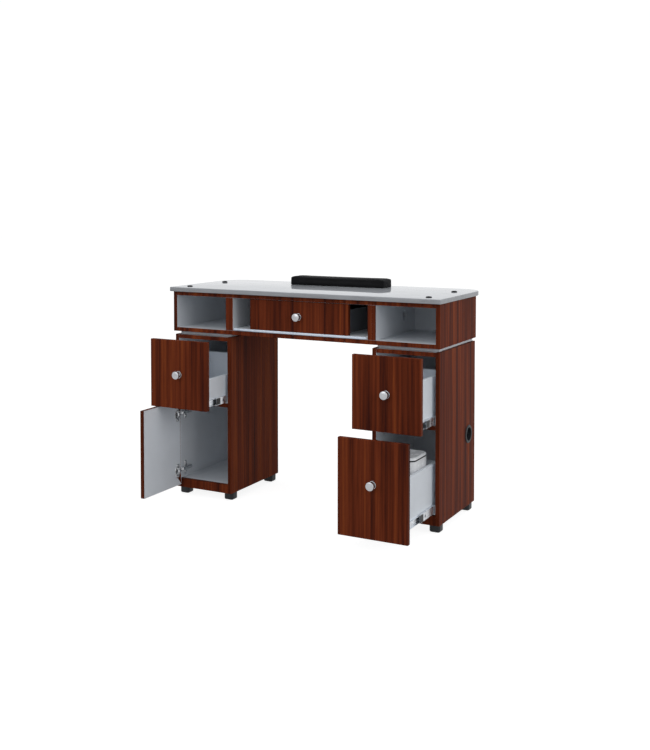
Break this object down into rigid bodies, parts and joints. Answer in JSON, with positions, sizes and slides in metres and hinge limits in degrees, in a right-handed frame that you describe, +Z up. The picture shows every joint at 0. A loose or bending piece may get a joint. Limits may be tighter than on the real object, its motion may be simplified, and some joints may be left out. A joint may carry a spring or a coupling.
{
  "type": "manicure table",
  "caption": "Two-pedestal manicure table with pull-out drawers, a hinged cupboard door, open cubbies, an arm rest and a lidded waste bin.",
  "frame": {"origin": "on the floor, under the centre of the bounding box of the table as posed", "axes": "+X to the right of the technician who sits at the drawers, +Y away from the technician towards the customer, +Z up"},
  "size_m": [1.072, 0.688, 0.806],
  "materials": {
    "mahogany": "satin mahogany grain foil",
    "grey_melamine": "satin grey melamine",
    "worktop_stone": "polished light grey solid surface",
    "black_vinyl": "black vinyl",
    "plywood": "raw plywood",
    "black_plastic": "fine moulded",
    "satin_chrome": "satin",
    "bright_aluminium": "bright anodised",
    "zinc_steel": "zinc plated",
    "hinge_steel": "nickel plated",
    "white_plastic": "gloss",
    "black_rubber": "matt"
  },
  "bodies": {
    "cabinet": {"worktop": "worktop_stone", "worktop_pads": "black_plastic", "armrest_cushion": "black_vinyl", "armrest_board": "plywood", "apron_left_side": "mahogany", "apron_right_side": "mahogany", "apron_bottom_board": "grey_melamine", "apron_top_board": "grey_melamine", "apron_back_panel": "mahogany", "cubby_inner_walls": "grey_melamine", "centre_bay_walls": "grey_melamine", "centre_tray_runners": "bright_aluminium", "pedestal_spacers": "grey_melamine", "left_pedestal_outer_side": "mahogany", "left_pedestal_inner_side": "mahogany", "right_pedestal_outer_side": "mahogany", "right_pedestal_inner_side": "mahogany", "pedestal_top_boards": "grey_melamine", "pedestal_middle_shelves": "grey_melamine", "pedestal_bottom_boards": "grey_melamine", "pedestal_back_panels": "mahogany", "pedestal_front_rails": "mahogany", "pedestal_feet": "black_plastic", "hose_port_ring": "black_plastic", "cabinet_slide_channels": "zinc_steel", "door_hinge_arms": "hinge_steel"},
    "centre_drawer": {"centre_drawer_front": "mahogany", "centre_drawer_walls": "grey_melamine", "centre_tray": "grey_melamine", "centre_tray_trim": "bright_aluminium", "centre_drawer_knob": "satin_chrome"},
    "upper_left_drawer": {"upper_left_drawer_front": "mahogany", "upper_left_drawer_walls": "grey_melamine", "upper_left_drawer_bottom": "grey_melamine", "upper_left_drawer_knob": "satin_chrome", "upper_left_drawer_slides": "zinc_steel"},
    "upper_left_middle_slides": {"upper_left_middle_slides": "zinc_steel", "upper_left_slide_retainers": "black_plastic"},
    "upper_right_drawer": {"upper_right_drawer_front": "mahogany", "upper_right_drawer_walls": "grey_melamine", "upper_right_drawer_bottom": "grey_melamine", "upper_right_drawer_knob": "satin_chrome", "upper_right_drawer_slides": "zinc_steel"},
    "upper_right_middle_slides": {"upper_right_middle_slides": "zinc_steel", "upper_right_slide_retainers": "black_plastic"},
    "lower_right_drawer": {"lower_right_drawer_front": "mahogany", "lower_right_drawer_walls": "grey_melamine", "lower_right_drawer_bottom": "grey_melamine", "lower_right_drawer_knob": "satin_chrome", "lower_right_drawer_slides": "zinc_steel"},
    "lower_right_middle_slides": {"lower_right_middle_slides": "zinc_steel", "lower_right_slide_retainers": "black_plastic"},
    "left_door": {"left_door_panel": "mahogany", "left_door_knob": "satin_chrome", "door_hinge_cups": "hinge_steel"},
    "waste_bin": {"waste_bin_body": "white_plastic", "waste_bin_seal": "black_rubber"},
    "bin_lid": {"waste_bin_lid": "white_plastic"}
  },
  "joints": [
    {"name": "centre_drawer_slide", "type": "slide", "parent": "cabinet", "child": "centre_drawer", "axis": [0, -1, 0], "range_m": [0, 0.23]},
    {"name": "upper_left_drawer_slide", "type": "slide", "parent": "cabinet", "child": "upper_left_drawer", "axis": [0, -1, 0], "range_m": [-0.135, 0.165]},
    {"name": "upper_left_middle_slide", "type": "slide", "parent": "cabinet", "child": "upper_left_middle_slides", "axis": [0, -1, 0], "range_m": [-0.0675, 0.0825]},
    {"name": "upper_right_drawer_slide", "type": "slide", "parent": "cabinet", "child": "upper_right_drawer", "axis": [0, -1, 0], "range_m": [-0.138, 0.162]},
    {"name": "upper_right_middle_slide", "type": "slide", "parent": "cabinet", "child": "upper_right_middle_slides", "axis": [0, -1, 0], "range_m": [-0.069, 0.081]},
    {"name": "lower_right_drawer_slide", "type": "slide", "parent": "cabinet", "child": "lower_right_drawer", "axis": [0, -1, 0], "range_m": [-0.239, 0.061]},
    {"name": "lower_right_middle_slide", "type": "slide", "parent": "cabinet", "child": "lower_right_middle_slides", "axis": [0, -1, 0], "range_m": [-0.1195, 0.0305]},
    {"name": "left_door_hinge", "type": "hinge", "parent": "cabinet", "child": "left_door", "pos_m": [-0.509, -0.0805, 0.197], "axis": [0, 0, -1], "range_deg": [-90, 15]},
    {"name": "waste_bin_lift", "type": "slide", "parent": "lower_right_drawer", "child": "waste_bin", "axis": [0, 0, 1], "range_m": [0, 0.04]},
    {"name": "bin_lid_lift", "type": "slide", "parent": "waste_bin", "child": "bin_lid", "axis": [0, 0, 1], "range_m": [0, 0.03]}
  ],
  "couplings": [
    {"joint": "upper_left_middle_slide", "follows": "upper_left_drawer_slide", "ratio": 0.5},
    {"joint": "upper_right_middle_slide", "follows": "upper_right_drawer_slide", "ratio": 0.5},
    {"joint": "lower_right_middle_slide", "follows": "lower_right_drawer_slide", "ratio": 0.5}
  ]
}
